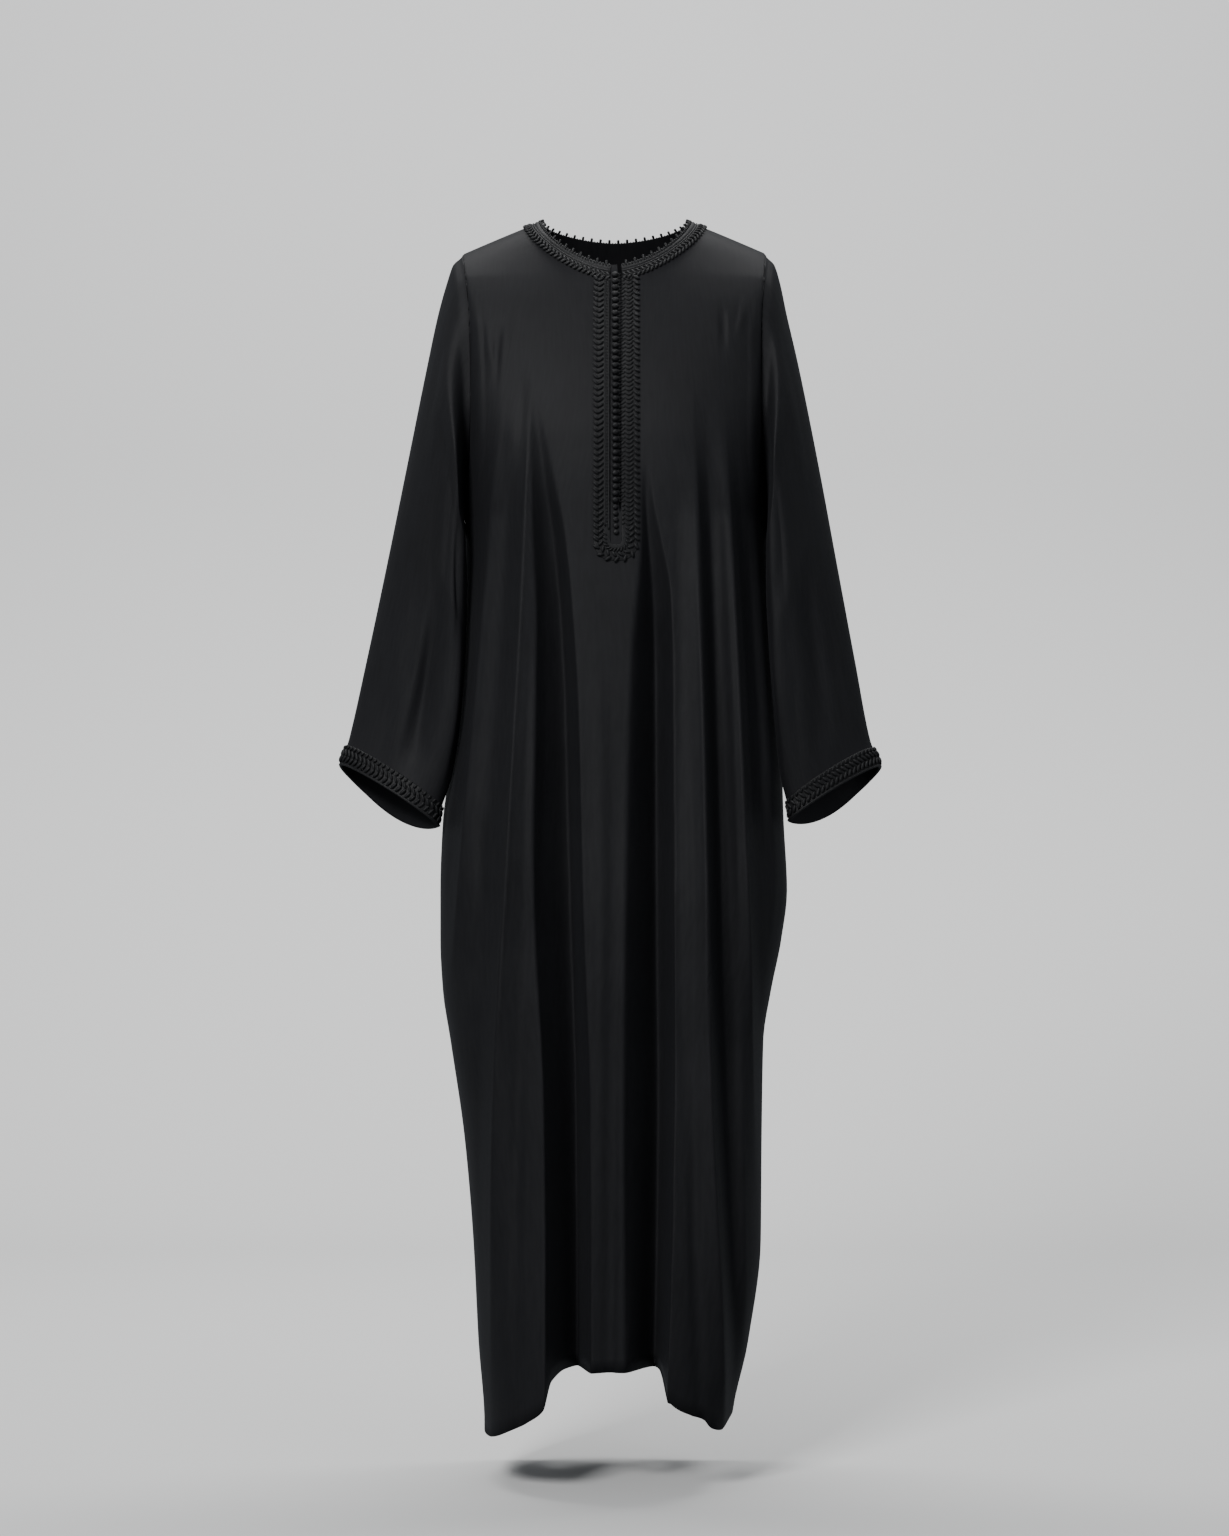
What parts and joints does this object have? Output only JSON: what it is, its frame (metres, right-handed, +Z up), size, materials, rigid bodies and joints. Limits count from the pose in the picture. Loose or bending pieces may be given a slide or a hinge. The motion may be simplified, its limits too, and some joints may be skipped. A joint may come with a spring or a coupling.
{
  "type": "butterfly abaya",
  "caption": "Long loose black crepe abaya worn open and hollow, with wide dropped sleeves, a buttoned neck slit and braid at neck, slit and cuffs.",
  "frame": {"origin": "between the wearer's shoulders, at mid-shoulder height in the plane of the side seams, where the wearer holds the garment up", "axes": "+Z up along the body, the front faces -Y, +X is the wearer's left"},
  "size_m": [0.638, 0.3019, 1.4255],
  "materials": {
    "crepe": "smooth heavy crepe with a faint sheen, black",
    "braid": "silky hand-worked thread braid and thread-covered balls, black"
  },
  "bodies": {
    "root": {"front_panel": "crepe", "back_panel": "crepe", "sleeve_left": "crepe", "sleeve_right": "crepe", "neck_braid": "braid", "placket_braid": "braid", "cuff_braid_left": "braid", "cuff_braid_right": "braid", "button_01": "braid", "button_02": "braid", "button_03": "braid", "button_04": "braid", "button_05": "braid", "button_06": "braid", "button_07": "braid", "button_08": "braid", "button_09": "braid", "button_10": "braid", "button_11": "braid", "button_12": "braid", "button_13": "braid", "button_14": "braid", "button_15": "braid", "button_16": "braid", "button_17": "braid", "button_18": "braid", "button_19": "braid", "button_20": "braid", "button_21": "braid", "button_22": "braid", "button_23": "braid", "button_24": "braid", "button_25": "braid", "button_26": "braid", "button_27": "braid", "button_28": "braid", "button_29": "braid", "button_30": "braid", "button_31": "braid", "button_32": "braid", "button_33": "braid", "button_34": "braid", "button_35": "braid", "thread_knot_1": "braid", "thread_knot_2": "braid", "thread_knot_3": "braid", "thread_knot_4": "braid", "thread_knot_5": "braid"}
  },
  "joints": []
}
